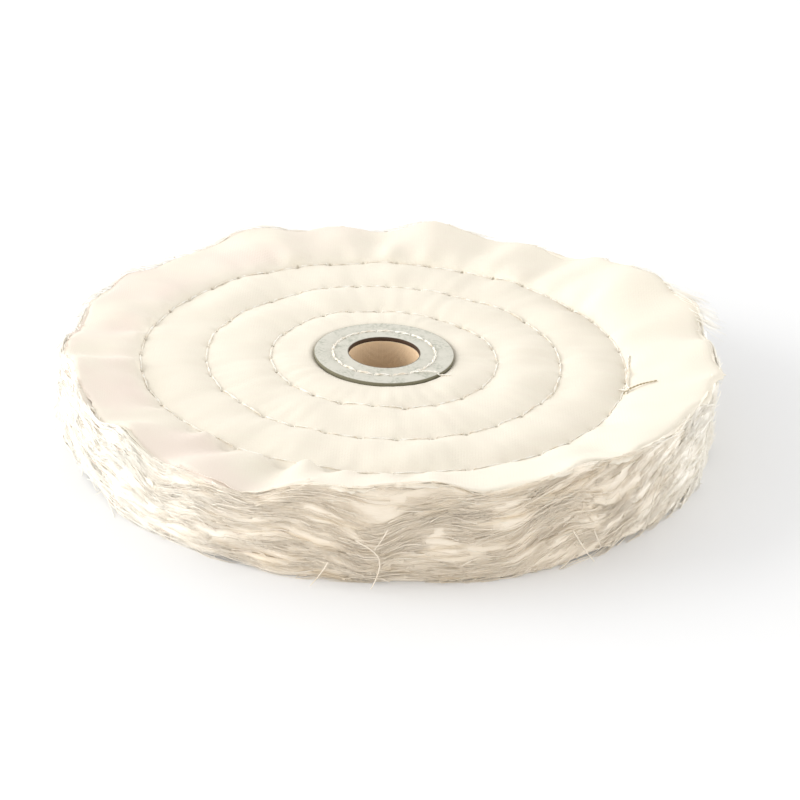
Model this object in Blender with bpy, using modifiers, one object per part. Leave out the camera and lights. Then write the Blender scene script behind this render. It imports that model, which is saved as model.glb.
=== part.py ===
"""Stitched cotton polishing wheel for a bench polisher: forty cloth plies between two washers.

Blender 4.5, metres, +Z up. The origin is on the bore axis, in the plane that the wheel lies on,
and +Z runs along the bore.
"""
import math

import bpy

MM = 0.001

# Driving dimensions, in millimetres
WHEEL_DIAMETER = 150.0
BORE_DIAMETER = 16.2
WASHER_DIAMETER = 32.0
WASHER_THICKNESS = 1.0

PLY_COUNT = 40
PLY_THICKNESS = 0.2
SEWN_PITCH = 0.3  # from ply to ply where the rows of stitches hold them together
SEWN_RADIUS = 57.0  # outside it the plies are free and spread apart
RIM_HEIGHT = 20.0  # the spread edge, from the lowest ply's underside to the highest ply's top
SEWN_BASE = 2.3  # underside of the lowest ply in the sewn middle

PIECE_GAP = 0.1  # left between pieces that touch
THREAD_DIAMETER = 0.6
WASHER_ROW_RADIUS = 11.8
CLOTH_ROW_RADII = {"inner": 25.9, "middle": 40.4, "outer": 55.2}
STITCH_GROOVE_WIDTH = 1.0
STITCH_GROOVE_DEPTH = 0.7

GRAIN_TURN = math.radians(90)  # each ply is laid with its warp across that of the ply under it
PLY_SEGMENTS = 24
WASHER_SEGMENTS = 48
THREAD_SEGMENTS = 36
THREAD_SIDES = 5
WELD_DISTANCE = 1e-5

sewn_top = SEWN_BASE + (PLY_COUNT - 1) * SEWN_PITCH + PLY_THICKNESS
lower_washer_base = SEWN_BASE - PIECE_GAP - WASHER_THICKNESS
upper_washer_base = sewn_top + PIECE_GAP


def make_material(name, colour, roughness):
    material = bpy.data.materials.new(name)
    material.use_nodes = True
    shader = material.node_tree.nodes["Principled BSDF"]
    shader.inputs["Base Color"].default_value = (*colour, 1)
    shader.inputs["Roughness"].default_value = roughness
    shader.inputs["Metallic"].default_value = 0.0
    return material


def turned_ring(name, outline, segments, material):
    """A closed outline of (radius, height) in mm, turned once round the bore axis.

    The outline starts at the top of the outer side and runs down it, so the faces point out.
    """
    points = [(radius * MM, 0, height * MM) for radius, height in outline]
    count = len(points)
    mesh = bpy.data.meshes.new(name)
    mesh.from_pydata(points, [(i, (i + 1) % count) for i in range(count)], [])
    ring = bpy.data.objects.new(name, mesh)
    wheel_parts.objects.link(ring)
    turn = ring.modifiers.new("Turn", "SCREW")
    turn.angle = math.tau
    turn.steps = turn.render_steps = segments
    turn.use_merge_vertices = True
    turn.merge_threshold = WELD_DISTANCE
    mesh.materials.append(material)
    return ring


def make_ply(number, material):
    """One cloth disc: flat in the sewn middle, its free edge leaning to its share of the rim."""
    share = number / (PLY_COUNT - 1)
    base = SEWN_BASE + number * SEWN_PITCH
    lean = share * (RIM_HEIGHT - PLY_THICKNESS) - base
    outline = [
        (WHEEL_DIAMETER / 2, lean + PLY_THICKNESS),
        (WHEEL_DIAMETER / 2, lean),
        (SEWN_RADIUS, 0),
        (BORE_DIAMETER / 2, 0),
        (BORE_DIAMETER / 2, PLY_THICKNESS),
        (SEWN_RADIUS, PLY_THICKNESS),
    ]
    ply = turned_ring(f"ply_{number + 1:02d}", outline, PLY_SEGMENTS, material)
    ply.location.z = base * MM
    ply.rotation_euler.z = number * GRAIN_TURN


def make_washer(name, base, face_up, material):
    """A flat board ring whose clamp face has a groove that the row of stitches sinks into."""
    outer, inner = WASHER_DIAMETER / 2, BORE_DIAMETER / 2
    groove_outer = WASHER_ROW_RADIUS + STITCH_GROOVE_WIDTH / 2
    groove_inner = WASHER_ROW_RADIUS - STITCH_GROOVE_WIDTH / 2
    face = WASHER_THICKNESS if face_up else 0
    floor = face - STITCH_GROOVE_DEPTH if face_up else STITCH_GROOVE_DEPTH
    groove = [(groove_outer, face), (groove_outer, floor), (groove_inner, floor), (groove_inner, face)]
    rim = [(outer, WASHER_THICKNESS), (outer, 0)]
    wall = [(inner, 0), (inner, WASHER_THICKNESS)]
    outline = rim + wall + groove[::-1] if face_up else rim + groove + wall
    washer = turned_ring(name, outline, WASHER_SEGMENTS, material)
    washer.location.z = base * MM


def make_thread_ring(name, radius, height, material):
    """One row of stitches on one face, as the ring of thread that lies along it."""
    bpy.ops.mesh.primitive_torus_add(
        major_radius=radius * MM,
        minor_radius=THREAD_DIAMETER / 2 * MM,
        major_segments=THREAD_SEGMENTS,
        minor_segments=THREAD_SIDES,
        location=(0, 0, height * MM),
    )
    ring = bpy.context.object
    ring.name = ring.data.name = name
    for collection in list(ring.users_collection):
        collection.objects.unlink(ring)
    wheel_parts.objects.link(ring)
    ring.data.materials.append(material)
    ring.data.shade_smooth()


def make_stitch_rows(material):
    """A needle thread on top and a bobbin thread beneath for each of the four sewn rows."""
    half_thread = THREAD_DIAMETER / 2
    on_cloth = PIECE_GAP + half_thread
    for row, radius in CLOTH_ROW_RADII.items():
        make_thread_ring(f"needle_thread_{row}_row", radius, sewn_top + on_cloth, material)
        make_thread_ring(f"bobbin_thread_{row}_row", radius, SEWN_BASE - on_cloth, material)
    above_groove = WASHER_THICKNESS - STITCH_GROOVE_DEPTH + on_cloth
    top = upper_washer_base + above_groove
    bottom = lower_washer_base + WASHER_THICKNESS - above_groove
    make_thread_ring("needle_thread_washer_row", WASHER_ROW_RADIUS, top, material)
    make_thread_ring("bobbin_thread_washer_row", WASHER_ROW_RADIUS, bottom, material)


for item in list(bpy.data.objects):
    bpy.data.objects.remove(item)

wheel_parts = bpy.data.collections.new("polishing_wheel")
bpy.context.scene.collection.children.link(wheel_parts)

cotton_cloth = make_material("unbleached cotton sheeting", (0.86, 0.82, 0.72), 0.95)
washer_board = make_material("pressed fibre board", (0.70, 0.68, 0.59), 0.85)
cotton_thread = make_material("spun cotton thread", (0.88, 0.86, 0.78), 0.9)

make_washer("lower_centre_washer", lower_washer_base, False, washer_board)
for ply_number in range(PLY_COUNT):
    make_ply(ply_number, cotton_cloth)
make_washer("upper_centre_washer", upper_washer_base, True, washer_board)
make_stitch_rows(cotton_thread)
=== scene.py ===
"""Stitched cotton polishing wheel: the look of every piece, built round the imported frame."""
import math

import bpy
import numpy as np
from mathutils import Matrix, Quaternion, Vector
from mathutils.bvhtree import BVHTree


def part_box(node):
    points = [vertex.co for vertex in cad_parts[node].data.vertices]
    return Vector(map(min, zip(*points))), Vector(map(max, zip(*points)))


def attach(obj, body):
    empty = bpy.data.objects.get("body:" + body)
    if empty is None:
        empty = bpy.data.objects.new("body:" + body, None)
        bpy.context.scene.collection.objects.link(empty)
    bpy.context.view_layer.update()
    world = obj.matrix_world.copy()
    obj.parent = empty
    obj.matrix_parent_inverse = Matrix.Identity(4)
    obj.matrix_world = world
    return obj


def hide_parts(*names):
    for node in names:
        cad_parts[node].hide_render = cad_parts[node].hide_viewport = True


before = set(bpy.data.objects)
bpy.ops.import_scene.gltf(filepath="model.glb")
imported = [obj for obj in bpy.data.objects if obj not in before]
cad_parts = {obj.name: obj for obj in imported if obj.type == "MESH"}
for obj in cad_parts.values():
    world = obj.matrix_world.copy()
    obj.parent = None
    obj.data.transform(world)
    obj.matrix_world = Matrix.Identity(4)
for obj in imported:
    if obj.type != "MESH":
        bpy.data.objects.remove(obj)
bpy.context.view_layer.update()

# --- Lower centre washer -------------------------------------------------------------------
# A ring of pressed fibre board under the wheel, punched from sheet. The arbor's flange bears
# on it, and the row of stitches nearest the bore goes through it.

MM = 0.001
BOARD_GREY = "#CCC9BD"
BOARD_FLECK = "#A9AA9C"
BOARD_EDGE_PAINTED_SHADE = "#77735F"
BOARD_BORE_PAINTED_SHADE = "#4A382A"
BOARD_FIBRE_MM = 0.7  # pressed pulp lies in flecks about this long
BOARD_CLOUD_MM = 3.5
BOARD_BEVEL_MM = 0.12
WASHER_SEGMENTS = 192
WASHER_STITCHES = 18
NEEDLE_HOLE_MM = 0.55
NEEDLE_HOLE_DEPTH_MM = 0.25
BOARD_WARP_MM = 0.08
BOARD_DENT_MM = 0.1  # how far the thread's pull sinks the board under each stitch


def tint(code):
    """An sRGB hex colour as the linear RGBA that a shader takes."""
    parts = [int(code[i:i + 2], 16) / 255 for i in (1, 3, 5)]
    return (*((c / 12.92 if c <= 0.04045 else ((c + 0.055) / 1.055) ** 2.4) for c in parts), 1)


def add_node(material, kind, settings=(), links=()):
    """Adds one node: settings are (name, value) of its inputs or properties, links (input, output)."""
    tree = material.node_tree
    node = tree.nodes.new(kind)
    for name, value in settings:
        if isinstance(name, int) or name in node.inputs:
            node.inputs[name].default_value = value
        else:
            setattr(node, name, value)
    for name, output in links:
        tree.links.new(output, node.inputs[name])
    return node


def new_material(name, roughness, sheen=0.0):
    """A material with an empty Principled shader, and that shader."""
    material = bpy.data.materials.new(name)
    material.use_nodes = True
    shader = material.node_tree.nodes["Principled BSDF"]
    shader.inputs["Roughness"].default_value = roughness
    shader.inputs["Sheen Weight"].default_value = sheen
    shader.inputs["Specular IOR Level"].default_value = 0.25
    return material, shader


def blend_colours(material, share, low, high):
    """A colour between low and high, each a hex code or another node's colour, by share."""
    mix = add_node(material, "ShaderNodeMix", [("data_type", "RGBA")], [(0, share)])
    for socket, colour in ((6, low), (7, high)):
        if isinstance(colour, str):
            mix.inputs[socket].default_value = tint(colour)
        else:
            material.node_tree.links.new(colour, mix.inputs[socket])
    return mix.outputs[2]


def noise_share(material, where, size_mm, start, stop, detail=3.0, squash=1.0):
    """Noise in clouds of that size, stretched so that start to stop becomes 0 to 1."""
    place = add_node(material, "ShaderNodeMapping",
                     [("Scale", (1, squash, 1))], [("Vector", where)])
    noise = add_node(material, "ShaderNodeTexNoise",
                     [("Scale", 1 / (size_mm * MM)), ("Detail", detail)],
                     [("Vector", place.outputs[0])])
    return share_of(material, noise.outputs["Fac"], start, stop)


def share_of(material, value, start, stop):
    """value as 0 at start and 1 at stop, smoothly between."""
    return add_node(material, "ShaderNodeMapRange",
                    [("interpolation_type", "SMOOTHSTEP"), ("From Min", start), ("From Max", stop)],
                    [("Value", value)]).outputs[0]


def calculate(material, operation, *values):
    """A Math node's result; each value is a number or another node's output."""
    node = add_node(material, "ShaderNodeMath", [("operation", operation)])
    for i, value in enumerate(values):
        if isinstance(value, (int, float)):
            node.inputs[i].default_value = value
        else:
            material.node_tree.links.new(value, node.inputs[i])
    return node.outputs[0]


def axis_distance(material, where):
    """Distance from the bore axis, in metres."""
    flat = add_node(material, "ShaderNodeVectorMath",
                    [("operation", "MULTIPLY"), (1, (1, 1, 0))], [(0, where)])
    return add_node(material, "ShaderNodeVectorMath",
                    [("operation", "LENGTH")], [(0, flat.outputs[0])]).outputs["Value"]


def object_place(material):
    """The place on the piece, in metres from the origin."""
    return add_node(material, "ShaderNodeTexCoord").outputs["Object"]


def make_board_material(outer, bore):
    """Pressed fibre board: matt grey with pulp flecks, with shade painted dark along its outer cut edge and
    its bore edge.
    """
    board, shader = new_material("fibre_board_pressed", 0.85)
    where = object_place(board)
    flecks = noise_share(board, where, BOARD_FIBRE_MM, 0.35, 0.7)
    clouds = noise_share(board, where, BOARD_CLOUD_MM, 0.35, 0.7)
    face = blend_colours(board, calculate(board, "MULTIPLY", flecks, clouds), BOARD_GREY, BOARD_FLECK)
    reach = axis_distance(board, where)
    # Painted shade: the outer cut edge and the bore edge are painted dark, standing in for the shade on the
    # board's edges.
    cut = share_of(board, reach, outer - 0.22 * MM, outer - 0.02 * MM)
    face = blend_colours(board, cut, face, BOARD_EDGE_PAINTED_SHADE)
    bore_edge_shade = share_of(board, reach, bore + 0.35 * MM, bore + 0.05 * MM)
    face = blend_colours(board, bore_edge_shade, face, BOARD_BORE_PAINTED_SHADE)
    bump = add_node(board, "ShaderNodeBump", [("Strength", 0.35), ("Distance", 0.06 * MM)],
                    [("Height", flecks)])
    links = board.node_tree.links
    links.new(face, shader.inputs["Base Color"])
    links.new(bump.outputs[0], shader.inputs["Normal"])
    return board


def flat_ring(name, radii, segments, height):
    """A flat ring in the plane of that height: a circle at the first radius, extruded to each next."""
    bpy.ops.object.select_all(action="DESELECT")
    bpy.ops.mesh.primitive_circle_add(vertices=segments, radius=radii[0], location=(0, 0, 0))
    ring = bpy.context.object
    ring.name = ring.data.name = name
    bpy.ops.object.mode_set(mode="EDIT")
    bpy.ops.mesh.select_all(action="SELECT")
    for near, far in zip(radii, radii[1:]):
        bpy.ops.mesh.extrude_region_move()
        bpy.ops.transform.resize(value=(far / near, far / near, 1))
    bpy.ops.mesh.select_all(action="SELECT")
    bpy.ops.mesh.normals_make_consistent(inside=False)
    bpy.ops.object.mode_set(mode="OBJECT")
    if ring.data.polygons[0].normal.z < 0:
        ring.data.flip_normals()
    points = points_of(ring)
    points[:, 2] = height
    place_points(ring, points)
    return ring


def points_of(piece):
    """A mesh's points, in metres, as an array of rows."""
    points = np.empty(len(piece.data.vertices) * 3)
    piece.data.vertices.foreach_get("co", points)
    return points.reshape(-1, 3)


def place_points(piece, points):
    piece.data.vertices.foreach_set("co", points.ravel())
    piece.data.update()


def apply_modifier(piece, kind, **settings):
    """Adds a modifier with those settings and applies it."""
    bpy.ops.object.select_all(action="DESELECT")
    piece.select_set(True)
    bpy.context.view_layer.objects.active = piece
    modifier = piece.modifiers.new(kind.title(), kind)
    for name, value in settings.items():
        setattr(modifier, name, value)
    bpy.ops.object.modifier_apply(modifier=modifier.name)


def nearest_hole(angle, stitches, turn):
    """Angle from each point to the nearest needle hole of a row with that many stitches."""
    step = math.tau / stitches
    return (angle - turn + step / 2) % step - step / 2


def make_washer(name, node, face):
    """A board ring in its CAD node's box: dented along its stitches and pierced at each end."""
    low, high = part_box(node)
    bore, outer, row = BORE_RADIUS, high.x, WASHER_ROW_RADIUS
    spread = [0, 0.6, 1.2, 2.4, 3.3, 4.0]
    radii = sorted({bore, bore + 0.5 * MM, outer - 0.5 * MM, outer}
                   | {row + d * MM for d in spread if row + d * MM < outer - 0.6 * MM}
                   | {row - d * MM for d in spread if row - d * MM > bore + 0.6 * MM})
    ring = flat_ring(name, radii, WASHER_SEGMENTS, high.z)
    apply_modifier(ring, "SOLIDIFY", thickness=high.z - low.z, offset=-1)
    apply_modifier(ring, "BEVEL", width=BOARD_BEVEL_MM * MM, segments=2, limit_method="ANGLE")
    points = points_of(ring)
    reach = np.hypot(points[:, 0], points[:, 1])
    angle = np.arctan2(points[:, 1], points[:, 0])
    off_row = (reach - row) / MM
    along = nearest_hole(angle, WASHER_STITCHES, 0) * row / MM
    sink = BOARD_DENT_MM * np.exp(-(off_row / 0.8) ** 2)
    sink += NEEDLE_HOLE_DEPTH_MM * np.exp(-(off_row ** 2 + along ** 2) / NEEDLE_HOLE_MM ** 2)
    warp = BOARD_WARP_MM * np.sin(2 * angle + 0.7) * (reach / outer) ** 2
    on_face = points[:, 2] > (low.z + high.z) / 2 if face > 0 else points[:, 2] < (low.z + high.z) / 2
    points[:, 2] += (warp - face * sink * on_face) * MM
    place_points(ring, points)
    ring.data.shade_smooth()
    ring.data.set_sharp_from_angle(angle=math.radians(50))
    ring.data.materials.append(washer_board)
    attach(ring, "root")
    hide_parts(node)


def ring_radius(node):
    """Radius of the middle of a thread ring, from its box: half its height is the thread's."""
    low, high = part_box(node)
    return high.x - (high.z - low.z) / 2


plies = sorted(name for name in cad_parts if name.startswith("ply_"))
BORE_RADIUS = min(math.hypot(v.co.x, v.co.y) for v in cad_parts["ply_01"].data.vertices)
WASHER_ROW_RADIUS = ring_radius("needle_thread_washer_row")
washer_board = make_board_material(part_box("lower_centre_washer")[1].x, BORE_RADIUS)
make_washer("washer_board_lower", "lower_centre_washer", -1)

# --- Cloth plies ---------------------------------------------------------------------------
# Discs of unbleached cotton sheeting, die-cut and stacked. The rows of stitches quilt them
# together; outside the last row they are free, puffed up and pulled apart into clumps.

CLOTH_CREAM = "#E3DCCC"
CLOTH_DULL = "#E2D4C8"
CLOTH_THREAD_GAP = "#DCCFB8"
CLOTH_BORE_PAINTED_SHADE = "#F6DCB8"
NEEDLE_HOLE_PAINTED_SHADE = "#877A62"
WEAVE_MM = 0.6  # real sheeting has a thread every 0.4 mm; drawn a little coarser so it shows
SLUB_MM = 1.4
CLOTH_CLOUD_MM = 22.0
CLOTH_THICKNESS_MM = 0.18
ROWS = [ring_radius(f"needle_thread_{row}_row") / MM for row in ("inner", "middle", "outer")]
ROW_STITCHES = [23, 33, 41]
WHEEL_RADIUS_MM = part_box(plies[0])[1].x / MM
WASHER_RADIUS_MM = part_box("upper_centre_washer")[1].x / MM
SEWN_TOP_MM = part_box("upper_centre_washer")[0].z / MM - 0.1
SEWN_BASE_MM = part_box("lower_centre_washer")[1].z / MM + 0.1
# How far the top ply's rim stands over the sewn face, by angle from +X
RIM_LIFTS_MM = [(-180, 2), (-161, 4.3), (-149, 3.4), (-137, 4.4), (-127, 3.1), (-121, 3.9), (-112, 2.8),
                (-99, 6.3), (-86, 9), (-74, 6), (-60, 8), (-43, 6.5), (-22, 7), (-2, 6), (12, 4.5), (31, 8),
                (54, 2), (66, 1.5), (80, 3.2), (97, 1), (116, 3), (134, 0.3), (158, 1.5), (171, 1)]
PUFF_MM = 0.8
GROOVE_MM = 0.22
GROOVE_WIDTH_MM = 2.2
DIMPLE_MM = 0.5  # at each needle hole
DIMPLE_RADIUS_MM = 0.8
COLLAR_MM = 0.45  # the cloth stands up round the washer, which its stitches pull in
TUCK_MM = 4.2  # the plies are drawn in on the left, the upper ones most
TUCK_DEG = -168
TUCK_SPREAD = 0.73  # radians
COVER_MM = 0.9  # the top ply reaches this much further out at the back
TOP_CURL_MM = 0.9  # the top ply's cut edge turns down
RAGGED_MM = 0.22
TOP_SEGMENTS = 432
PLY_SEGMENTS = 256


def ripple(angle, fewest, most, seed):
    """Wandering round the wheel, about 1 in size, with that many waves to the turn."""
    draw = np.random.default_rng(seed)
    counts = np.arange(fewest, most + 1)
    sizes, starts = draw.normal(size=len(counts)), draw.uniform(0, math.tau, len(counts))
    waves = sizes[:, None] * np.cos(counts[:, None] * np.ravel(angle)[None, :] + starts[:, None])
    return (waves.sum(0) / math.sqrt((sizes ** 2).sum() / 2)).reshape(np.shape(angle))


def lumps(x, y, size, seed):
    """Soft unevenness over a surface, about 1 in size, in lumps of that many millimetres."""
    draw = np.random.default_rng(seed)
    total = np.zeros_like(x)
    for _ in range(24):
        heading = draw.uniform(0, math.tau)
        pace = math.tau / (size * draw.uniform(0.7, 1.6))
        total += np.cos(pace * (x * math.cos(heading) + y * math.sin(heading)) + draw.uniform(0, math.tau))
    return total / math.sqrt(12)


def rim_lift(angle):
    """The top ply's rim height, eased between the listed places."""
    turns = np.radians([a for a, _ in RIM_LIFTS_MM] + [180])
    lifts = np.array([h for _, h in RIM_LIFTS_MM] + [RIM_LIFTS_MM[0][1]])
    wrapped = (angle + math.pi) % math.tau - math.pi
    i = np.clip(np.searchsorted(turns, wrapped, side="right") - 1, 0, len(turns) - 2)
    share = (wrapped - turns[i]) / (turns[i + 1] - turns[i])
    share = share * share * (3 - 2 * share)
    return lifts[i] * (1 - share) + lifts[i + 1] * share


def quilting(reach, angle, holes, seed):
    """Padding over the sewn plane, in mm: puffs between the rows, grooves and dimples on them."""
    bounds = [WASHER_RADIUS_MM, *ROWS]
    puff = np.zeros_like(reach)
    for i, (near, far) in enumerate(zip(bounds, bounds[1:])):
        across = np.clip((reach - near) / (far - near), 0, 1)
        fullness = 1 + 0.2 * ripple(angle, 3, 11, seed + i)
        puff += PUFF_MM * (0.75 if i == 0 else 1) * fullness * np.sin(math.pi * across) ** 1.1
    for i, (row, stitches) in enumerate(zip(ROWS, ROW_STITCHES)):
        off = reach - row
        puff -= GROOVE_MM * np.exp(-(off / GROOVE_WIDTH_MM) ** 2)
        gather = 0.09 * ripple(angle, stitches, 2 * stitches, seed + 20 + i)
        puff += gather * np.exp(-np.abs(off) / 4.5) * (1 - np.exp(-(off / 1.5) ** 2))
        if holes:
            along = nearest_hole(angle, stitches, i) * row
            puff -= DIMPLE_MM * np.exp(-(off ** 2 + along ** 2) / DIMPLE_RADIUS_MM ** 2)
        else:
            puff -= DIMPLE_MM * np.exp(-(off / 1.5) ** 2)
    return puff


def free_share(reach):
    """0 up to the last row of stitches, 1 at the rim."""
    return np.clip((reach - ROWS[-1]) / (WHEEL_RADIUS_MM - ROWS[-1]), 0, 1)


def upper_face(reach, angle, holes=False):
    """Height of the wheel's upper face in mm."""
    x, y = reach * np.cos(angle), reach * np.sin(angle)
    free = free_share(reach)
    lift = rim_lift(angle) + 0.5 * ripple(angle, 9, 26, 5)
    left = 0.5 - 0.5 * np.cos(angle)
    gathers = (0.22 + 0.5 * left) * ripple(angle, 26, 46, 6)
    gathers *= np.exp(-free * 2.6) * np.clip(free * 12, 0, 1)
    back = 0.5 + 0.5 * np.sin(angle)
    rise = lift * (1 - (1 - free) ** (1 + 0.7 * back))
    rise += 1.1 * back * np.sin(math.pi * np.sqrt(free)) * (free < 1)
    beyond = np.clip(reach - WASHER_RADIUS_MM, 0, None)
    uneven = 0.2 * lumps(x, y, 15, 7) * np.clip(beyond / 4, 0, 1)
    collar = COLLAR_MM * np.clip(beyond / 0.6, 0, 1) * np.exp(-beyond / 4)
    return SEWN_TOP_MM + quilting(reach, angle, holes, 40) + rise + gathers + uneven + collar


def lower_face(reach, angle, holes=False):
    """Height of the wheel's lower face in mm: it sags to the floor at the rim."""
    free = free_share(reach)
    rim = 0.2 + 0.5 * np.maximum(ripple(angle, 4, 14, 60), 0)
    sag = (SEWN_BASE_MM - rim) * (1 - (1 - free) ** 1.7)
    padding = np.clip(quilting(reach, angle, holes, 70), -1.2, 1.3)
    return SEWN_BASE_MM - 0.8 * padding * (1 - free) - sag


GRID_STEPS = 720
EDGE_UNDER_FRINGE_MM = 0.25
grid_angles = np.linspace(0, math.tau, GRID_STEPS, endpoint=False)
bunching = 1.8 + 1.2 * np.cos(grid_angles + 1.1)  # the plies lie most evenly on the left
grid_gaps = np.stack([0.5 + bunching * np.clip(ripple(grid_angles, 3, 11, 200 + i) - 0.8, 0, 1)
                      for i in range(len(plies) - 1)])
grid_shares = np.vstack([np.zeros(GRID_STEPS), grid_gaps.cumsum(0)]) / grid_gaps.sum(0)


def clump_share(level, angle):
    """Where a level in the stack lies at the rim, 0 lowest to 1 highest, with the clumps' gaps."""
    column = angle % math.tau / math.tau * GRID_STEPS
    left = np.floor(column).astype(int)
    across = column - left
    under = np.clip(np.floor(level).astype(int), 0, len(plies) - 2)
    up = level - under
    a, b = left % GRID_STEPS, (left + 1) % GRID_STEPS
    low = grid_shares[under, a] * (1 - across) + grid_shares[under, b] * across
    high = grid_shares[under + 1, a] * (1 - across) + grid_shares[under + 1, b] * across
    return low * (1 - up) + high * up


edge_swings = np.stack([0.7 * ripple(grid_angles, 5, 14, 300 + i // 5)
                        + 0.45 * ripple(grid_angles, 12, 40, 320 + i) for i in range(len(plies))])


def edge_radius(level, angle):
    """The cut edge at that level of the stack: a little out of round, and ragged."""
    column = (angle % math.tau / math.tau * GRID_STEPS).astype(int) % GRID_STEPS
    nearest = np.clip(np.round(level).astype(int), 0, len(plies) - 1)
    from_left = (angle - math.radians(TUCK_DEG) + math.pi) % math.tau - math.pi
    upper = np.clip(level / (len(plies) - 1) * 2 - 0.9, 0, 1)
    tuck = TUCK_MM * np.exp(-(from_left / TUCK_SPREAD) ** 2) * (0.5 + 0.5 * upper)
    cover = COVER_MM * (nearest == len(plies) - 1) * np.clip(np.sin(angle) + 0.3, 0, 1)
    return WHEEL_RADIUS_MM + edge_swings[nearest, column] - tuck + cover


def felted_radius(level, angle):
    """Where the fringe lies at that level: the cut edge there, evened out with the levels around it."""
    sampled = range(0, len(plies), 4)
    whole = sum(edge_radius(other, angle) for other in sampled) / len(sampled)
    return 0.6 * whole + 0.4 * edge_radius(level, angle)


def ply_height(i, reach, angle, holes=False):
    """Height of level i in mm: evenly stacked where it is sewn, clumped with others where it is free."""
    i = np.asarray(i, float)
    even = i / (len(plies) - 1)
    free = free_share(reach)
    share = even + (clump_share(i, angle) - even) * free ** 0.8
    low, high = lower_face(reach, angle, holes), upper_face(reach, angle, holes)
    return low + (high - low) * share


def needle_hole_spots(material):
    """1 in every needle hole of the three rows, 0 elsewhere: where shade is painted into the holes."""
    where = object_place(material)
    reach = axis_distance(material, where)
    parts = add_node(material, "ShaderNodeSeparateXYZ", links=[(0, where)])
    angle = calculate(material, "ARCTAN2", parts.outputs["Y"], parts.outputs["X"])
    marks = 0.0
    for i, (row, stitches) in enumerate(zip(ROWS, ROW_STITCHES)):
        step = math.tau / stitches
        turned = calculate(material, "ADD", angle, 50 * step - i + step / 2)
        along = calculate(material, "SUBTRACT", calculate(material, "MODULO", turned, step), step / 2)
        along = calculate(material, "MULTIPLY", along, row * MM)
        off = calculate(material, "SUBTRACT", reach, row * MM)
        squares = calculate(material, "ADD", calculate(material, "MULTIPLY", along, along),
                            calculate(material, "MULTIPLY", off, off))
        hole = share_of(material, calculate(material, "SQRT", squares), 0.52 * MM, 0.2 * MM)
        marks = calculate(material, "MAXIMUM", marks, hole)
    return marks


def make_cloth_material():
    """Unbleached sheeting, plain weave: matt cream with a soft sheen, duller where it is loose, with painted
    shade at the needle holes and round the bore.
    """
    cloth, shader = new_material("cotton_sheeting_unbleached", 0.92, sheen=0.08)
    laid = add_node(cloth, "ShaderNodeUVMap", [("uv_map", "flat_cut")]).outputs[0]
    threads = []
    for turn in (0, math.pi / 2):
        along = add_node(cloth, "ShaderNodeMapping", [("Rotation", (0, 0, turn))], [("Vector", laid)])
        wave = add_node(cloth, "ShaderNodeTexWave",
                        [("Scale", math.pi / 10 / WEAVE_MM), ("Distortion", 0.7), ("Detail Scale", 1.5)],
                        [("Vector", along.outputs[0])])
        threads.append(wave.outputs["Fac"])
    over = add_node(cloth, "ShaderNodeTexChecker", [("Scale", 1 / WEAVE_MM)], [("Vector", laid)])
    weave = add_node(cloth, "ShaderNodeMix", [("data_type", "FLOAT")],
                     [(0, over.outputs["Fac"]), (2, threads[0]), (3, threads[1])]).outputs[0]
    metres = add_node(cloth, "ShaderNodeVectorMath",
                      [("operation", "SCALE"), ("Scale", MM)], [(0, laid)]).outputs[0]
    slubs = noise_share(cloth, metres, SLUB_MM, 0.3, 0.75, squash=0.15)
    clouds = noise_share(cloth, metres, CLOTH_CLOUD_MM, 0.35, 0.68)
    reach = axis_distance(cloth, metres)
    loose = share_of(cloth, reach, (ROWS[-1] - 1) * MM, (ROWS[-1] + 6) * MM)
    across = add_node(cloth, "ShaderNodeSeparateXYZ", links=[(0, object_place(cloth))]).outputs["X"]
    left = share_of(cloth, across, 0.03, -0.05)
    dull = calculate(cloth, "MULTIPLY", calculate(cloth, "MULTIPLY", clouds, loose), left)
    colour = blend_colours(cloth, dull, CLOTH_CREAM, CLOTH_DULL)
    gap = share_of(cloth, weave, 0.42, 0.05)
    colour = blend_colours(cloth, calculate(cloth, "MULTIPLY", gap, 0.14), colour, CLOTH_THREAD_GAP)
    colour = blend_colours(cloth, calculate(cloth, "MULTIPLY", slubs, 0.22), colour, CLOTH_DULL)
    # Painted shade: the cloth round the bore is tinted tan, standing in for the warm shade inside the hole.
    punched = share_of(cloth, reach, BORE_RADIUS + 0.9 * MM, BORE_RADIUS + 0.1 * MM)
    colour = blend_colours(cloth, punched, colour, CLOTH_BORE_PAINTED_SHADE)
    # Painted shade: each needle hole is painted dark, as the shade inside it, fainter in some places than in
    # others.
    open_share = noise_share(cloth, metres, 9.0, 0.25, 0.75)
    hole_shade = calculate(cloth, "MULTIPLY", needle_hole_spots(cloth), open_share)
    colour = blend_colours(cloth, hole_shade, colour, NEEDLE_HOLE_PAINTED_SHADE)
    bump = add_node(cloth, "ShaderNodeBump", [("Strength", 0.2), ("Distance", 0.1 * MM)],
                    [("Height", weave)])
    links = cloth.node_tree.links
    links.new(colour, shader.inputs["Base Color"])
    links.new(bump.outputs[0], shader.inputs["Normal"])
    return cloth


def closer_at_ends(near, far, steps):
    """Radii from near to far, closest together at both."""
    return [near + (far - near) * (0.5 - 0.5 * math.cos(math.pi * k / steps)) for k in range(steps)]


def ply_radii(inner_steps, outer_steps):
    bounds = [WASHER_RADIUS_MM, *ROWS]
    radii = [BORE_RADIUS / MM, (BORE_RADIUS / MM + WASHER_RADIUS_MM) / 2]
    for near, far in zip(bounds, bounds[1:]):
        radii += closer_at_ends(near, far, inner_steps)
    radii += closer_at_ends(ROWS[-1], WHEEL_RADIUS_MM, outer_steps) + [WHEEL_RADIUS_MM]
    return [radius * MM for radius in radii]


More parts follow.
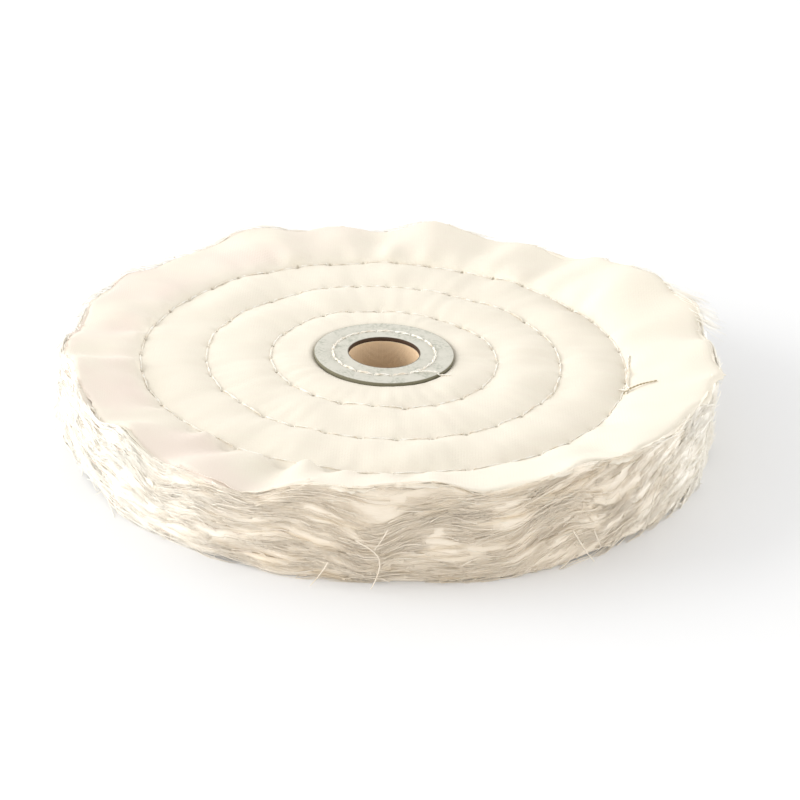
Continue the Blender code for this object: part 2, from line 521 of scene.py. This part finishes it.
def write_flat_cut(ply, quarter_turns):
    """The UV map of the flat cut in mm, so that the weave follows the cloth and not the room."""
    points = points_of(ply)[:, :2] / MM
    turn = quarter_turns * math.pi / 2
    c, s = round(math.cos(turn)), round(math.sin(turn))
    laid = points @ np.array([[c, s], [-s, c]])
    corners = np.empty(len(ply.data.loops), int)
    ply.data.loops.foreach_get("vertex_index", corners)
    layer = ply.data.uv_layers.new(name="flat_cut")
    layer.data.foreach_set("uv", laid[corners].ravel())


def make_ply(i, blank, holes):
    """Ply i, from a copy of the flat blank: laid in its place in the stack, then given thickness."""
    ply = blank.copy()
    ply.data = blank.data.copy()
    ply.name = ply.data.name = f"cloth_{plies[i]}"
    bpy.context.scene.collection.objects.link(ply)
    write_flat_cut(ply, i % 4)
    points = points_of(ply)
    reach = np.hypot(points[:, 0], points[:, 1]) / MM
    angle = np.arctan2(points[:, 1], points[:, 0])
    free = free_share(reach)
    height = ply_height(i, reach, angle, holes)
    ragged = np.random.default_rng(400 + i).normal(size=len(reach)) * RAGGED_MM
    at_edge = np.clip((free - 0.93) / 0.07, 0, 1)
    rim = edge_radius(i, angle) if i == len(plies) - 1 else felted_radius(i, angle) - EDGE_UNDER_FRINGE_MM
    swing = rim - WHEEL_RADIUS_MM
    radius = reach + swing * free + ragged * at_edge
    curl = ripple(angle, 10, 34, 500 + i) * 0.3 - (TOP_CURL_MM if i == len(plies) - 1 else 0)
    height = np.maximum(height + curl * at_edge ** 2, 0.1)
    points[:, 0], points[:, 1] = radius * np.cos(angle) * MM, radius * np.sin(angle) * MM
    points[:, 2] = (height + CLOTH_THICKNESS_MM * (0.5 if i else 1)) * MM
    place_points(ply, points)
    apply_modifier(ply, "SOLIDIFY", thickness=CLOTH_THICKNESS_MM * MM, offset=-1)
    ply.data.shade_smooth()
    ply.data.set_sharp_from_angle(angle=math.radians(70))
    ply.data.materials.append(cotton_cloth)
    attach(ply, "root")
    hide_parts(plies[i])
    made_plies.append(ply)


cotton_cloth = make_cloth_material()
made_plies = []
face_blank = flat_ring("face_blank", ply_radii(12, 16), TOP_SEGMENTS, 0)
plain_blank = flat_ring("plain_blank", ply_radii(2, 8), PLY_SEGMENTS, 0)
for number in range(len(plies)):
    on_face = number in (0, len(plies) - 1)
    make_ply(number, face_blank if on_face else plain_blank, on_face)
for blank in (face_blank, plain_blank):
    bpy.data.objects.remove(blank)

# --- Frayed edge ---------------------------------------------------------------------------
# The cut edge of sheeting ravels. Its outermost threads come loose and lie round the rim, the
# cut ends of the others stick out, and both break down into wisps of cotton fibre.

YARN_WHITE = "#FBF8F0"
YARN_DULL = "#EADFCD"
YARN_FIBRE_PAINTED_SHADE = "#DCCDB8"
YARN_FRONT_PAINTED_SHADE = "#E9DECD"
YARN_TAN = "#D8C5A6"
FRONT_SHADE_PLACE_M = (0.015, -0.072, 0.008)  # the middle of the front part of the rim, where shade is painted into the yarn
YARN_MM = 0.22
FIBRE_MM = 0.1  # real fibres are 0.02 mm; each of these stands for a few that cling together
STREAK_SHARE = 0.14  # a streak is this much thinner than it is long
LAY_CLIMB = (0.135, -0.0325)  # of the wheel's radius: how the streaks follow the slant of the threads
FRINGE_GROUPS = 8
BELT_STEPS = 480
BELT_SIDES = 12
SLIVERS = 6  # in each group
LOOSE_YARNS = 40
YARN_ENDS = 300
WISPS = 260
WISP_FIBRES = 7


def make_yarn_material():
    """Ravelled cotton: soft, matt, off-white, in fine streaks that run with the threads; on the front of the
    rim, which gets the least light, shade is painted in as a duller tan and darker fine streaks, with tan
    patches there as well."""
    yarn, shader = new_material("cotton_yarn_ravelled", 0.95, sheen=0.2)
    where = object_place(yarn)
    parts = add_node(yarn, "ShaderNodeSeparateXYZ", links=[(0, where)])
    angle = calculate(yarn, "ARCTAN2", parts.outputs["Y"], parts.outputs["X"])
    twice = calculate(yarn, "COSINE", calculate(yarn, "MULTIPLY", angle, 2.0))
    four = calculate(yarn, "SINE", calculate(yarn, "MULTIPLY", angle, 4.0))
    climb = calculate(yarn, "MULTIPLY_ADD", twice, LAY_CLIMB[0] * WHEEL_RADIUS_MM * MM,
                      calculate(yarn, "MULTIPLY", four, LAY_CLIMB[1] * WHEEL_RADIUS_MM * MM))
    level = calculate(yarn, "SUBTRACT", parts.outputs["Z"], climb)
    along = [calculate(yarn, "MULTIPLY", parts.outputs[axis], STREAK_SHARE) for axis in ("X", "Y")]
    lay = add_node(yarn, "ShaderNodeCombineXYZ",
                   links=[(0, along[0]), (1, along[1]), (2, level)]).outputs[0]
    away = add_node(yarn, "ShaderNodeVectorMath",
                    # Painted shade: the front of the rim, which gets the least light, is painted a duller
                    # tan, fading out with distance from the middle of that part.
                    [("operation", "DISTANCE"), (1, FRONT_SHADE_PLACE_M)], [(0, where)]).outputs["Value"]
    front_shade_share = share_of(yarn, away, 0.075, 0.02)
    streaks = noise_share(yarn, lay, 1.1, 0.3, 0.7)
    fibres = noise_share(yarn, lay, 0.4, 0.25, 0.75)
    colour = blend_colours(yarn, front_shade_share, YARN_WHITE, YARN_FRONT_PAINTED_SHADE)
    # Streaks of duller yarn: partly the yarn's own uneven tone, and in the front part more of them as
    # painted shade.
    streaked = calculate(yarn, "MULTIPLY_ADD", front_shade_share, 0.45, 0.3)
    colour = blend_colours(yarn, calculate(yarn, "MULTIPLY", streaks, streaked), colour, YARN_DULL)
    # Painted shade: fine darker streaks standing in for the shade between fibres, mostly in the front part.
    fine = noise_share(yarn, lay, 0.3, 0.4, 0.75)
    shaded = calculate(yarn, "MULTIPLY_ADD", front_shade_share, 0.3, 0.05)
    colour = blend_colours(yarn, calculate(yarn, "MULTIPLY", fine, shaded), colour, YARN_FIBRE_PAINTED_SHADE)
    # Tan patches in streaks, only in the same front part.
    bands = calculate(yarn, "MULTIPLY", noise_share(yarn, lay, 2.6, 0.5, 0.75), front_shade_share)
    colour = blend_colours(yarn, calculate(yarn, "MULTIPLY", bands, 0.5), colour, YARN_TAN)
    bump = add_node(yarn, "ShaderNodeBump", [("Strength", 0.15), ("Distance", 0.2 * MM)],
                    [("Height", fibres)])
    yarn.node_tree.links.new(colour, shader.inputs["Base Color"])
    yarn.node_tree.links.new(bump.outputs[0], shader.inputs["Normal"])
    return yarn


def wander(draw, count, steps, size):
    """Smooth random drift along each of count threads, 0 at its start, about size at its end."""
    knots = np.cumsum(draw.normal(size=(count, 4)), axis=1)
    knots = np.hstack([np.zeros((count, 1)), knots]) * size / 2
    at = np.linspace(0, 4, steps)
    left = np.clip(np.floor(at).astype(int), 0, 3)
    share = at - left
    share = share * share * (3 - 2 * share)
    return knots[:, left] * (1 - share) + knots[:, left + 1] * share


def belt_height(level, angle):
    """Height in mm at the rim of a level that is spread evenly over its clump, mouths and all."""
    span = (len(plies) - 1) / FRINGE_GROUPS
    low = np.clip(np.floor(level / span), 0, FRINGE_GROUPS - 1) * span
    reach = np.full_like(angle, WHEEL_RADIUS_MM)
    under, over = ply_height(low, reach, angle), ply_height(low + span, reach, angle)
    return under + (over - under) * (level - low) / span


def on_rim(level, angle, out, rise, width):
    """Points in mm out from the cut edge and up from the height of a level, within the wheel's height."""
    radius = felted_radius(level, angle) + out
    reach = np.full_like(angle, WHEEL_RADIUS_MM)
    highest = upper_face(reach, angle) + 0.35 - 0.35 * np.clip(width, 0, 1.6)
    height = np.minimum(belt_height(level, angle) + rise, highest)
    height = np.maximum(height, width / 2 + 0.02)
    return np.stack([radius * np.cos(angle), radius * np.sin(angle), height], axis=-1)


def slant(angle):
    """How steeply threads climb along the rim: level, but for the two sides cut on the bias."""
    return 0.42 * np.clip(-np.sin(2 * angle), 0, 1) ** 1.5


def matted_belt(group, low, high):
    """The matted roll of ravelled cotton along the edges of one clump of plies: a closed ring."""
    angle = np.linspace(0, math.tau, BELT_STEPS, endpoint=False)[:, None]
    section = np.linspace(0, math.tau, BELT_SIDES, endpoint=False)[None, :]
    reach = np.full_like(angle, WHEEL_RADIUS_MM)
    under, over = ply_height(low, reach, angle), ply_height(high, reach, angle)
    if group == FRINGE_GROUPS - 1:
        over = over - 0.9
    middle, half = (under + over) / 2, (over - under) / 2 + 0.34
    half = half - 0.22 * np.clip(ripple(angle, 6, 18, 700 + group) - 0.9, 0, 1)
    outward = np.sign(np.cos(section)) * np.abs(np.cos(section)) ** 0.5
    upward = np.sign(np.sin(section)) * np.abs(np.sin(section)) ** 0.85
    height = middle + half * upward
    drift = LAY_CLIMB[0] * np.cos(2 * angle) + LAY_CLIMB[1] * np.sin(4 * angle)
    x, y = WHEEL_RADIUS_MM * np.cos(angle) + 0 * section, WHEEL_RADIUS_MM * np.sin(angle) + 0 * section
    level = height - drift * WHEEL_RADIUS_MM
    coarse = lumps(0.22 * x + 0.9 * level, 0.22 * y - 0.4 * level, 2.2, 720 + group)
    radius = felted_radius((low + high) / 2, angle) - 0.8 + 0.8 * outward + 0.06 * coarse * (outward > 0)
    height = np.clip(height, 0.05, None)
    points = np.stack([radius * np.cos(angle), radius * np.sin(angle), height], axis=-1).reshape(-1, 3) * MM
    a = np.arange(BELT_STEPS)[:, None] * BELT_SIDES + np.arange(BELT_SIDES)[None, :]
    b = np.roll(a, -1, axis=0)
    faces = np.stack([a, b, np.roll(b, -1, axis=1), np.roll(a, -1, axis=1)], axis=-1).reshape(-1, 4)
    mesh = bpy.data.meshes.new(f"matted_belt_{group}")
    mesh.from_pydata(points.tolist(), [], faces.tolist())
    belt = bpy.data.objects.new(mesh.name, mesh)
    bpy.context.scene.collection.objects.link(belt)
    mesh.shade_smooth()
    mesh.materials.append(ravelled_yarn)
    return belt


def slivers(draw, low, high):
    """Soft rolls of ravelled cotton lying round the rim, which fill the mouths between the plies."""
    steps = 13
    level = draw.uniform(low, high, (SLIVERS, 1))
    angle = draw.uniform(0, math.tau, (SLIVERS, 1))
    steep = slant(angle)
    length = draw.uniform(8, 30, (SLIVERS, 1)) * (1 - np.clip(steep, 0, 1))
    along = np.linspace(-0.5, 0.5, steps)[None, :] * length
    out = -0.3 + draw.uniform(-0.2, 0.2, (SLIVERS, 1)) + wander(draw, SLIVERS, steps, 0.2)
    rise = wander(draw, SLIVERS, steps, 0.3) + steep * along * 0.8
    taper = np.sqrt(np.clip(1 - np.abs(along / length * 2) ** 2.5, 0.04, 1))
    width = draw.uniform(0.3, 0.6, (SLIVERS, 1)) * taper
    return on_rim(level, angle + along / WHEEL_RADIUS_MM, out, rise, width), width


def loose_yarns(draw, low, high):
    """Whole threads that lie round the rim, bowed out a little and peeling away at their ends."""
    steps = 12
    level = draw.uniform(low, high, (LOOSE_YARNS, 1))
    length = np.clip(draw.lognormal(2.7, 0.5, (LOOSE_YARNS, 1)), 6, 45)
    along = np.linspace(-0.5, 0.5, steps)[None, :] * length
    angle = draw.uniform(0, math.tau, (LOOSE_YARNS, 1))
    peel = draw.uniform(0, 1.2, (LOOSE_YARNS, 1)) * np.abs(along / length * 2) ** 3
    out = 0.05 + np.abs(wander(draw, LOOSE_YARNS, steps, 0.4)) + peel
    rise = wander(draw, LOOSE_YARNS, steps, 0.45) - 0.3 * peel + slant(angle) * along
    width = draw.uniform(0.6, 1.25, (LOOSE_YARNS, 1)) * np.ones((1, steps)) * YARN_MM
    return on_rim(level, angle + along / WHEEL_RADIUS_MM, out, rise, width), width


def yarn_ends(draw, low, high):
    """Cut ends along the weave, warp and weft: longest where the cut runs across it on the bias."""
    steps = 5
    level = draw.uniform(low, high, (YARN_ENDS, 1))
    angle = draw.uniform(0, math.tau, (YARN_ENDS, 1))
    start = on_rim(level, angle, -0.8, draw.normal(0, 0.15, (YARN_ENDS, 1)), YARN_MM)
    bias = np.abs(np.sin(2 * angle))
    heading = angle + draw.choice([-1, 1], (YARN_ENDS, 1)) * (0.8 + 0.3 * (1 - bias))
    heading = heading + draw.normal(0, 0.25, (YARN_ENDS, 1))
    length = draw.uniform(0.8, 1.9, (YARN_ENDS, 1))
    length = length * (1 + 1.2 * bias ** 2 * draw.uniform(0, 1, (YARN_ENDS, 1)))
    along = np.linspace(0, 1, steps)[None, :] * length
    turn = heading + draw.normal(0, 0.5, (YARN_ENDS, 1)) * np.linspace(0, 1, steps)[None, :]
    x, y = along * np.cos(turn), along * np.sin(turn)
    z = wander(draw, YARN_ENDS, steps, 0.4) - 0.05 * along ** 2
    points = start + np.stack([x, y, z], axis=-1)
    points[..., 2] = np.maximum(points[..., 2], 0.12)
    width = draw.uniform(0.5, 1.0, (YARN_ENDS, 1)) * np.linspace(1, 0.5, steps)[None, :]
    return points, width * YARN_MM


def wisps(draw, low, high):
    """Bundles of fibre that lie along the rim and fan out to nothing."""
    steps, many = 7, WISPS * WISP_FIBRES

    def each(values):
        return np.repeat(values, WISP_FIBRES, axis=0)
    level = each(draw.uniform(low, high, (WISPS, 1)))
    angle = each(draw.uniform(0, math.tau, (WISPS, 1)))
    steep = slant(angle)
    length = each(draw.uniform(4, 15, (WISPS, 1))) * draw.uniform(0.7, 1.1, (many, 1))
    length = length * (1 - 0.8 * np.clip(steep, 0, 1))
    way = each(draw.choice([-1, 1], (WISPS, 1)))
    along = np.linspace(0, 1, steps)[None, :]
    climb = way * steep + each(draw.normal(0, 0.06, (WISPS, 1)))
    spread = along ** 1.5 * (0.35 + np.abs(steep))
    out = each(draw.uniform(-0.1, 0.25, (WISPS, 1))) + each(draw.uniform(0, 0.6, (WISPS, 1))) * along ** 1.6
    out = out + each(np.abs(wander(draw, WISPS, steps, 0.25))) + draw.normal(0, 0.35, (many, 1)) * spread
    rise = climb * length * along + each(wander(draw, WISPS, steps, 0.25))
    rise = rise + draw.normal(0, 0.8, (many, 1)) * spread + draw.normal(0, 0.35, (many, 1))
    width = np.ones((many, 1)) * np.linspace(1, 0.6, steps)[None, :] * FIBRE_MM
    return on_rim(level, angle + way * along * length / WHEEL_RADIUS_MM, out, rise, width), width


def spin_threads(name, batches, material):
    """One piece from threads of (points, widths) in mm: a bevelled curve each, made into a mesh."""
    curve = bpy.data.curves.new(name, "CURVE")
    curve.dimensions, curve.bevel_depth, curve.bevel_resolution = "3D", MM / 2, 0
    curve.use_fill_caps = True
    for points, widths in batches:
        places = np.concatenate([points * MM, np.ones((*points.shape[:2], 1))], axis=-1)
        for place, width in zip(places, widths):
            thread = curve.splines.new("POLY")
            thread.points.add(len(place) - 1)
            thread.points.foreach_set("co", place.ravel())
            thread.points.foreach_set("radius", width)
    piece = bpy.data.objects.new(name, curve)
    bpy.context.scene.collection.objects.link(piece)
    bpy.ops.object.select_all(action="DESELECT")
    piece.select_set(True)
    bpy.context.view_layer.objects.active = piece
    bpy.ops.object.convert(target="MESH")
    piece = bpy.context.object
    piece.name = piece.data.name = name
    bpy.ops.object.mode_set(mode="EDIT")
    bpy.ops.mesh.select_all(action="SELECT")
    bpy.ops.mesh.remove_doubles(threshold=1e-6)
    bpy.ops.mesh.normals_make_consistent(inside=False)
    bpy.ops.object.mode_set(mode="OBJECT")
    piece.data.shade_smooth()
    piece.data.materials.clear()
    piece.data.materials.append(material)
    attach(piece, "root")
    return piece


# Threads hanging free of the rest, as (angle, distance from the bore axis, height) in degrees and mm
STRAYS = [[(-92.5, 77, 10.8), (-89.7, 77.6, 9.0), (-88.6, 77.8, 6.6), (-89.3, 77.8, 2.4), (-90, 78, 0.5)],
          [(-87.9, 76.6, 13.1), (-88.8, 77.2, 11), (-89.7, 77.7, 9.2)],
          [(-96.4, 76.5, 5.2), (-97, 77, 3.6), (-98, 77.6, 1.6), (-98.8, 78.4, 0.3)],
          [(-58.6, 76.5, 8.6), (-57.6, 77, 6.2), (-56, 77.6, 2.6), (-55, 78.2, 0.8)],
          [(-54.5, 76.5, 7), (-54, 77.2, 5), (-53.6, 77.8, 3.4)]]
TUFTS = [(37, 32, 3.5, 20.4), (28, 20, 7, 20.8), (22, 14, 6.5, 20.2), (19, 12, 6, 18.8)]
STRAY_MM = 0.3
TUFT_FIBRES = 44


def stray_threads():
    """The listed single threads."""
    batches = []
    for knots in STRAYS:
        turn, reach, height = np.array(knots).T
        turn = np.radians(turn)
        points = np.stack([reach * np.cos(turn), reach * np.sin(turn), height], axis=-1)
        fine = np.linspace(0, len(knots) - 1, 12)
        eased = np.stack([np.interp(fine, np.arange(len(knots)), points[:, i]) for i in range(3)], axis=-1)
        eased[1:-1] = (eased[:-2] + eased[1:-1] + eased[2:]) / 3
        batches.append((eased[None], np.linspace(1, 0.6, 12)[None] * STRAY_MM))
    return batches


def tufts(draw):
    """Longer wisps combed outward: (start angle, end angle, how far out, height)."""
    batches = []
    for start, stop, far, height in TUFTS:
        along = np.linspace(0, 1, 8)[None, :]
        angle = np.radians(start + (stop - start) * along + draw.normal(0, 1.6, (TUFT_FIBRES, 1)))
        out = -0.5 + far * along ** 1.6 * draw.uniform(0.45, 1.1, (TUFT_FIBRES, 1))
        rise = draw.normal(0, 0.6, (TUFT_FIBRES, 1)) * (0.5 + along) - 1.2 * along ** 2
        radius = WHEEL_RADIUS_MM + out
        points = np.stack([radius * np.cos(angle), radius * np.sin(angle), height + rise], axis=-1)
        batches.append((points, np.linspace(1, 0.6, 8)[None, :] * np.full((TUFT_FIBRES, 1), FIBRE_MM)))
    return batches


ravelled_yarn = make_yarn_material()
for group in range(FRINGE_GROUPS):
    draw = np.random.default_rng(900 + group)
    low = group * (len(plies) - 1) / FRINGE_GROUPS
    high = (group + 1) * (len(plies) - 1) / FRINGE_GROUPS
    batches = [make(draw, low, high) for make in (slivers, loose_yarns, yarn_ends, wisps)]
    fringe = spin_threads(f"frayed_edge_{group + 1}", batches, ravelled_yarn)
    belt = matted_belt(group, low, high)
    bpy.ops.object.select_all(action="DESELECT")
    belt.select_set(True)
    fringe.select_set(True)
    bpy.context.view_layer.objects.active = fringe
    bpy.ops.object.join()
spin_threads("stray_threads", stray_threads() + tufts(np.random.default_rng(950)), ravelled_yarn)

# --- Upper centre washer -------------------------------------------------------------------
# The same ring of pressed fibre board on the upper face, held by the same row of stitches, which
# pulls it a little into the cloth around it.

make_washer("washer_board_upper", "upper_centre_washer", 1)

# --- Rows of stitches ----------------------------------------------------------------------
# Four closed rings of machine lockstitch in cotton thread: the needle thread shows on the upper
# face and the bobbin thread on the lower. Each stitch lies taut and dives at both its holes.

THREAD_WHITE = "#F6F3EA"
THREAD_TAIL_PAINTED_SHADE = "#B5A88C"
THREAD_STRAND_MM = 0.22  # two strands twisted together make the 0.4 mm thread
WASHER_STRAND_MM = 0.32  # the row through the board is sewn with heavier thread
THREAD_TWISTS = 1.5  # turns in one stitch
STITCH_DIVE_MM = 1.1


def make_thread_material():
    """Bleached cotton sewing thread, matt."""
    thread, shader = new_material("cotton_sewing_thread", 0.8, sheen=0.1)
    shades = noise_share(thread, object_place(thread), 2.0, 0.35, 0.7)
    colour = blend_colours(thread, shades, THREAD_WHITE, YARN_DULL)
    thread.node_tree.links.new(colour, shader.inputs["Base Color"])
    return thread


def face_heights(piece, x, y, face):
    """Height in mm of a piece's upper (1) or lower (-1) side at places in mm, far down where it isn't."""
    corners = [vertex.co for vertex in piece.data.vertices]
    tree = BVHTree.FromPolygons(corners, [polygon.vertices for polygon in piece.data.polygons])
    heights = np.empty(len(x))
    for i in range(len(x)):
        place = tree.ray_cast((x[i] * MM, y[i] * MM, face * 0.1), (0, 0, -face))[0]
        heights[i] = place.z / MM if place else -1000
    return heights


def twist(points, turns, strand=THREAD_STRAND_MM):
    """The two strands of a thread along points (threads, steps, 3), in mm, and their widths."""
    count, steps = points.shape[:2]
    spin = np.linspace(0, turns * math.tau, steps)[None, :, None]
    run = np.gradient(points, axis=1)
    run /= np.linalg.norm(run, axis=2, keepdims=True)
    side = np.cross(run, [0, 0, 1.0])
    side /= np.linalg.norm(side, axis=2, keepdims=True) + 1e-9
    over = np.cross(side, run)
    offset = (np.cos(spin) * side + np.sin(spin) * over) * strand * 0.45
    widths = np.full((count, steps), strand)
    return [(points + offset, widths), (points - offset, widths)]


def sew_row(name, node, piece, face, radius, stitches, turn, strand=THREAD_STRAND_MM):
    """A ring of stitches on a piece's face, in place of its CAD ring."""
    steps = 11
    share = np.array([0, 0.05, 0.12, 0.22, 0.36, 0.5, 0.64, 0.78, 0.88, 0.95, 1])
    first = turn + np.arange(stitches)[:, None] * math.tau / stitches
    angle = first + share[None, :] * math.tau / stitches
    pulled = radius - 0.12 * np.sin(math.pi * share)[None, :]
    x, y = pulled * np.cos(angle), pulled * np.sin(angle)
    surface = face_heights(piece, x.ravel(), y.ravel(), face).reshape(stitches, steps)
    taut = (face * surface)[:, [3, 4, 5, 6, 7]].max(axis=1, keepdims=True)
    lying = np.maximum(face * surface + strand * 0.4, np.minimum(taut, face * surface + 0.3))
    dive = STITCH_DIVE_MM * np.clip(1 - np.sin(math.pi * share) / 0.35, 0, 1)[None, :]
    points = np.stack([x, y, face * (lying - dive)], axis=-1)
    row = spin_threads(name, twist(points, THREAD_TWISTS, strand), sewing_thread)
    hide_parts(node)


sewing_thread = make_thread_material()
top_ply, bottom_ply = made_plies[-1], made_plies[0]
for face, side, word in ((1, "needle", "upper"), (-1, "bobbin", "lower")):
    cloth = top_ply if face > 0 else bottom_ply
    for i, row in enumerate(("inner", "middle", "outer")):
        sew_row(f"stitches_{word}_{row}", f"{side}_thread_{row}_row", cloth, face,
                ROWS[i], ROW_STITCHES[i], i)
    board = bpy.data.objects[f"washer_board_{word}"]
    sew_row(f"stitches_{word}_washer", f"{side}_thread_washer_row", board, face,
            WASHER_ROW_RADIUS / MM, WASHER_STITCHES, 0, WASHER_STRAND_MM)

# Ends left where a row was closed, as (angle, distance from the bore axis, height over the cloth)
SEAM_ENDS = [[(4.6, 56.4, -0.6), (4.2, 56.4, 0.3), (-0.6, 55.6, 0.6), (-5.5, 55.35, 0.7), (-10.4, 55.5, 0.7),
              (-14.8, 56, 0.4), (-15.8, 56.3, -0.3)],
             [(-12.9, 54.2, 0.1), (-13.4, 55, 0.8), (-14.6, 55.9, 0.9), (-14, 56.6, 0.6), (-12.8, 56, 0.9)]]
SHADED_TAIL_END = [(-14.8, 55.4, 0.3), (-14, 56.6, 0.8), (-12.9, 58.4, 0.6), (-12.3, 60, 0.4), (-11.9, 62.2, 0.3)]
WASHER_END = [(-55, 12, 0.2), (-47, 13.4, 0.45), (-40, 15.4, 0.5), (-36.5, 17.2, 0.2), (-35, 18.4, 0.25)]


def lay_thread(knots, *under):
    """Twisted strands along places (angle, distance, height over the pieces under them)."""
    turn, reach, height = np.array(knots, float).T
    turn = np.radians(turn)
    points = np.stack([reach * np.cos(turn), reach * np.sin(turn), height], axis=-1)
    fine = np.linspace(0, len(knots) - 1, 8 * len(knots))
    eased = np.stack([np.interp(fine, np.arange(len(knots)), points[:, i]) for i in range(3)], axis=-1)
    eased[:, 2] += np.max([face_heights(piece, eased[:, 0], eased[:, 1], 1) for piece in under], axis=0)
    for _ in range(3):
        eased[1:-1] = (eased[:-2] + 2 * eased[1:-1] + eased[2:]) / 4
    return twist(eased[None], len(knots))


ends = [batch for knots in SEAM_ENDS for batch in lay_thread(knots, top_ply)]
ends += lay_thread(WASHER_END, top_ply, bpy.data.objects["washer_board_upper"])
spin_threads("seam_ends", ends, sewing_thread)
# Painted shade: this tail's thread is coloured darker, standing in for its shaded side.
shaded_tail_thread, shaded_tail_shader = new_material("cotton_sewing_thread_painted_shade", 0.85)
shaded_tail_shader.inputs["Base Color"].default_value = tint(THREAD_TAIL_PAINTED_SHADE)
spin_threads("seam_end_painted_shade", lay_thread(SHADED_TAIL_END, top_ply), shaded_tail_thread)

# --- Floor, light and camera ---------------------------------------------------------------
# A plain white sweep, a bright even room and one large soft light from the left and behind.

FLOOR_SIDE_M = 6
FLOOR_WHITE = 0.83

bpy.ops.object.select_all(action="DESELECT")
bpy.ops.mesh.primitive_plane_add(size=FLOOR_SIDE_M, location=(0, 0, 0))
floor = bpy.context.object
floor.name = "floor"
floor_paint, floor_shader = new_material("floor_white_paper", 0.9)
floor_shader.inputs["Base Color"].default_value = (FLOOR_WHITE, FLOOR_WHITE, FLOOR_WHITE, 1)
floor.data.materials.append(floor_paint)

ROOM_DIM = 0.73  # on the viewer's side
ROOM_BRIGHT = 0.92  # behind the wheel
ROOM_SIDES = 2.9  # added low down to the left and the right
KEY_POWER_W = 7.1
KEY_PLACE_M = (-1.0, -0.02, 0.38)
KEY_SIZE_M = 0.7

world = bpy.data.worlds.new("room")
world.use_nodes = True
heading = add_node(world, "ShaderNodeSeparateXYZ",
                   links=[(0, add_node(world, "ShaderNodeTexCoord").outputs["Generated"])])
glow = add_node(world, "ShaderNodeMapRange",
                [("From Min", -1.0), ("From Max", 1.0), ("To Min", ROOM_DIM), ("To Max", ROOM_BRIGHT)],
                [("Value", heading.outputs["Y"])]).outputs[0]
steep = calculate(world, "ABSOLUTE", heading.outputs["Z"])
low_down = calculate(world, "POWER", calculate(world, "SUBTRACT", 1.0, steep), 2.0)
sideways = calculate(world, "ABSOLUTE", heading.outputs["X"])
sides = calculate(world, "MULTIPLY", calculate(world, "MULTIPLY", sideways, low_down), ROOM_SIDES)
glow = calculate(world, "ADD", glow, sides)
backdrop = world.node_tree.nodes["Background"]
backdrop.inputs["Color"].default_value = (1, 1, 1, 1)
world.node_tree.links.new(glow, backdrop.inputs["Strength"])
bpy.context.scene.world = world

key_data = bpy.data.lights.new("key_light", "AREA")
key_data.energy, key_data.size = KEY_POWER_W, KEY_SIZE_M
key = bpy.data.objects.new("key_light", key_data)
bpy.context.scene.collection.objects.link(key)
key.location = KEY_PLACE_M
key.rotation_euler = (-key.location).to_track_quat("-Z", "Y").to_euler()

CAMERA_PLACE_M = (0.0041, -0.4106, 0.2089)
CAMERA_DOWN_DEG = 26.6
CAMERA_ROLL_DEG = 2.55
LENS_MM = 89.5

camera_data = bpy.data.cameras.new("camera")
camera_data.lens, camera_data.sensor_width = LENS_MM, 36
camera = bpy.data.objects.new("camera", camera_data)
bpy.context.scene.collection.objects.link(camera)
camera.location = CAMERA_PLACE_M
camera.rotation_mode = "QUATERNION"
tip = Quaternion((1, 0, 0), math.radians(90 - CAMERA_DOWN_DEG))
roll = Quaternion((0, 0, 1), math.radians(CAMERA_ROLL_DEG))
camera.rotation_quaternion = tip @ roll
bpy.context.scene.camera = camera
bpy.context.scene.view_settings.view_transform = "Standard"
